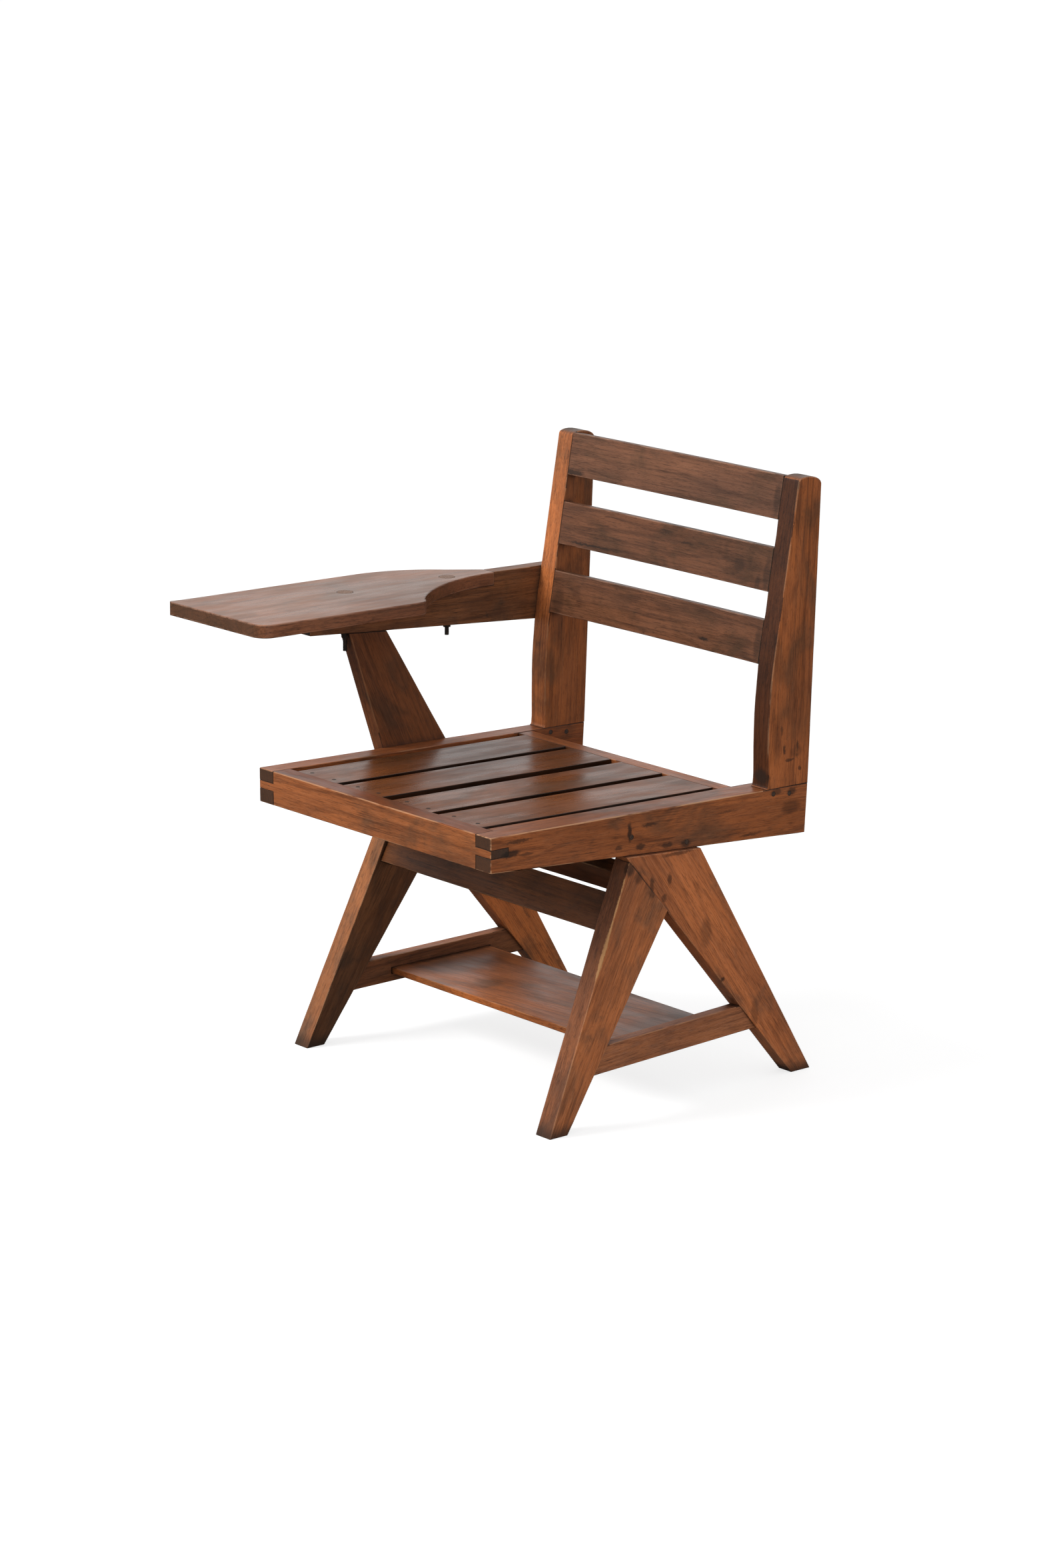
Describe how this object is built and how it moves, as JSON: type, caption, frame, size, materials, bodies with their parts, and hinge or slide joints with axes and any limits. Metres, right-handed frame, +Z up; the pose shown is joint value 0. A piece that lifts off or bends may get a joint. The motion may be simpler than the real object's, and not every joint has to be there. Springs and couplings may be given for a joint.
{
  "type": "student desk chair",
  "caption": "Wooden school chair with crossed legs, slatted seat and back, a low book shelf and a writing tablet fixed to an arm on the sitter's right.",
  "frame": {"origin": "middle of the bounding box on the floor", "axes": "+X is the sitter's left, +Y the back of the chair, -Y the way the sitter faces, +Z up"},
  "size_m": [0.637, 0.643, 0.8225],
  "materials": {
    "frame_wood": "oiled, worn",
    "seat_wood": "oiled, worn smooth",
    "back_wood": "oiled, worn",
    "leg_wood": "oiled, scuffed",
    "shelf_wood": "oiled, worn",
    "tablet_wood": "oiled, worn smooth",
    "plug_wood": "dark end grain",
    "steel": "blackened, dull"
  },
  "bodies": {
    "root": {"arm_rail": "frame_wood", "arm_screw_lower": "steel", "arm_screw_upper": "steel", "arm_support": "frame_wood", "back_post_left": "frame_wood", "back_post_right": "frame_wood", "back_slat_bottom": "back_wood", "back_slat_middle": "back_wood", "back_slat_top": "back_wood", "book_shelf": "shelf_wood", "front_cross_rail": "leg_wood", "front_leg_left": "leg_wood", "front_leg_right": "leg_wood", "leg_peg_left_front": "plug_wood", "leg_peg_left_rear": "plug_wood", "leg_peg_right_front": "plug_wood", "leg_peg_right_rear": "plug_wood", "post_peg_left_front": "plug_wood", "post_peg_left_rear": "plug_wood", "post_peg_right_front": "plug_wood", "post_peg_right_rear": "plug_wood", "rear_cross_rail": "leg_wood", "rear_leg_left": "leg_wood", "rear_leg_right": "leg_wood", "seat_cleat_front": "frame_wood", "seat_cleat_rear": "frame_wood", "seat_rail_front": "frame_wood", "seat_rail_left": "frame_wood", "seat_rail_rear": "frame_wood", "seat_rail_right": "frame_wood", "seat_slat_1": "seat_wood", "seat_slat_2": "seat_wood", "seat_slat_3": "seat_wood", "seat_slat_4": "seat_wood", "side_stretcher_left": "leg_wood", "side_stretcher_right": "leg_wood", "slat_1_nail_a": "steel", "slat_1_nail_b": "steel", "slat_2_nail_a": "steel", "slat_2_nail_b": "steel", "slat_3_nail_a": "steel", "slat_3_nail_b": "steel", "slat_4_nail_a": "steel", "slat_4_nail_b": "steel", "support_screw_front": "steel", "support_screw_rear": "steel", "tablet_bolt_front": "steel", "tablet_bolt_rear": "steel", "tablet_nut_front": "steel", "tablet_nut_rear": "steel", "tablet_plug_front": "plug_wood", "tablet_plug_rear": "plug_wood", "writing_tablet": "tablet_wood"}
  },
  "joints": []
}
